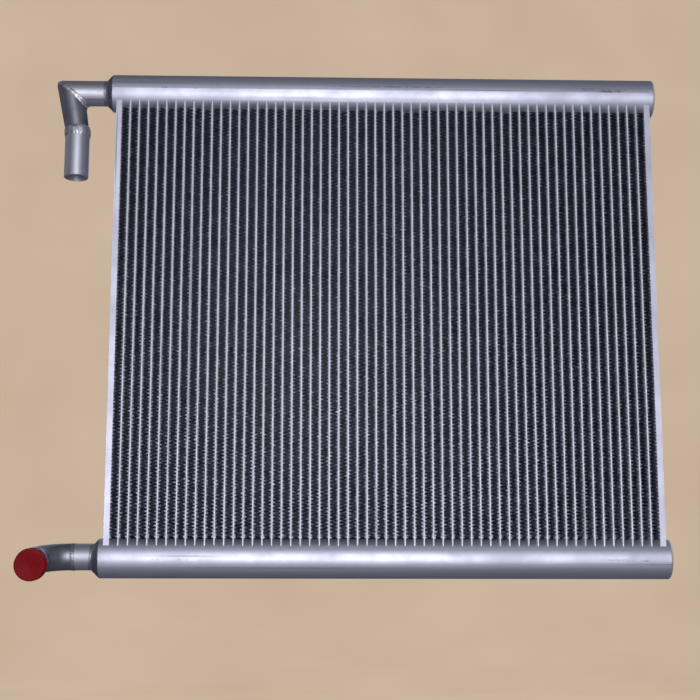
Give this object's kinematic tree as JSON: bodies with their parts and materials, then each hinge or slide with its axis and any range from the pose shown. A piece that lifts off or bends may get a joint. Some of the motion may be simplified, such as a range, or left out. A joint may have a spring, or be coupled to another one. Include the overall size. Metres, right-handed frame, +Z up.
{
  "type": "hydraulic oil cooler",
  "caption": "Brazed aluminium oil cooler: flat tubes and corrugated fins between two round headers, side plates, welded inlet and outlet pipes with hose ends, push-on dust cap.",
  "frame": {"origin": "centre of the core, halfway between the two header axes and halfway through the core's depth", "axes": "+X along the headers, away from the pipes; +Y from the core's front to its back, along the air path; +Z up, along the flat tubes"},
  "size_m": [0.817, 0.1056, 0.673],
  "materials": {
    "header_aluminium": "satin mill finish, brazed",
    "pipe_aluminium": "satin, dulled by the weld heat",
    "tube_aluminium": "matt brazed",
    "plate_aluminium": "matt brazed",
    "fin_sheet": "thin sheet, dark between the tubes",
    "weld_metal": "as welded, rippled",
    "cap_plastic": "soft moulded plastic"
  },
  "bodies": {
    "cooler": {"bottom_header_tube": "header_aluminium", "bottom_left_cap": "header_aluminium", "bottom_right_cap": "header_aluminium", "fin_strips_01": "fin_sheet", "fin_strips_02": "fin_sheet", "fin_strips_03": "fin_sheet", "fin_strips_04": "fin_sheet", "fin_strips_05": "fin_sheet", "fin_strips_06": "fin_sheet", "fin_strips_07": "fin_sheet", "fin_strips_08": "fin_sheet", "fin_strips_09": "fin_sheet", "fin_strips_10": "fin_sheet", "fin_strips_11": "fin_sheet", "fin_strips_12": "fin_sheet", "fin_strips_13": "fin_sheet", "fin_strips_14": "fin_sheet", "fin_strips_15": "fin_sheet", "fin_strips_16": "fin_sheet", "fin_strips_17": "fin_sheet", "fin_strips_18": "fin_sheet", "fin_strips_19": "fin_sheet", "flat_tubes_01": "tube_aluminium", "flat_tubes_02": "tube_aluminium", "flat_tubes_03": "tube_aluminium", "flat_tubes_04": "tube_aluminium", "flat_tubes_05": "tube_aluminium", "flat_tubes_06": "tube_aluminium", "flat_tubes_07": "tube_aluminium", "flat_tubes_08": "tube_aluminium", "flat_tubes_09": "tube_aluminium", "flat_tubes_10": "tube_aluminium", "flat_tubes_11": "tube_aluminium", "flat_tubes_12": "tube_aluminium", "flat_tubes_13": "tube_aluminium", "flat_tubes_14": "tube_aluminium", "flat_tubes_15": "tube_aluminium", "flat_tubes_16": "tube_aluminium", "flat_tubes_17": "tube_aluminium", "flat_tubes_18": "tube_aluminium", "flat_tubes_19": "tube_aluminium", "inlet_elbow_leg": "pipe_aluminium", "inlet_hose_nipple": "pipe_aluminium", "inlet_mitre_weld": "weld_metal", "inlet_nipple_weld": "weld_metal", "inlet_stub_pipe": "pipe_aluminium", "inlet_stub_weld": "weld_metal", "left_side_plate": "plate_aluminium", "outlet_elbow": "pipe_aluminium", "outlet_elbow_weld": "weld_metal", "outlet_hose_nipple": "pipe_aluminium", "outlet_nipple_weld": "weld_metal", "outlet_stub_pipe": "pipe_aluminium", "outlet_stub_weld": "weld_metal", "right_side_plate": "plate_aluminium", "top_header_tube": "header_aluminium", "top_left_cap": "header_aluminium", "top_right_cap": "header_aluminium"},
    "dust_cap": {"outlet_dust_cap": "cap_plastic"}
  },
  "joints": [
    {"name": "cap_pull", "type": "slide", "parent": "cooler", "child": "dust_cap", "axis": [0, -0.9806, -0.1959], "range_m": [0, 0.04]}
  ]
}
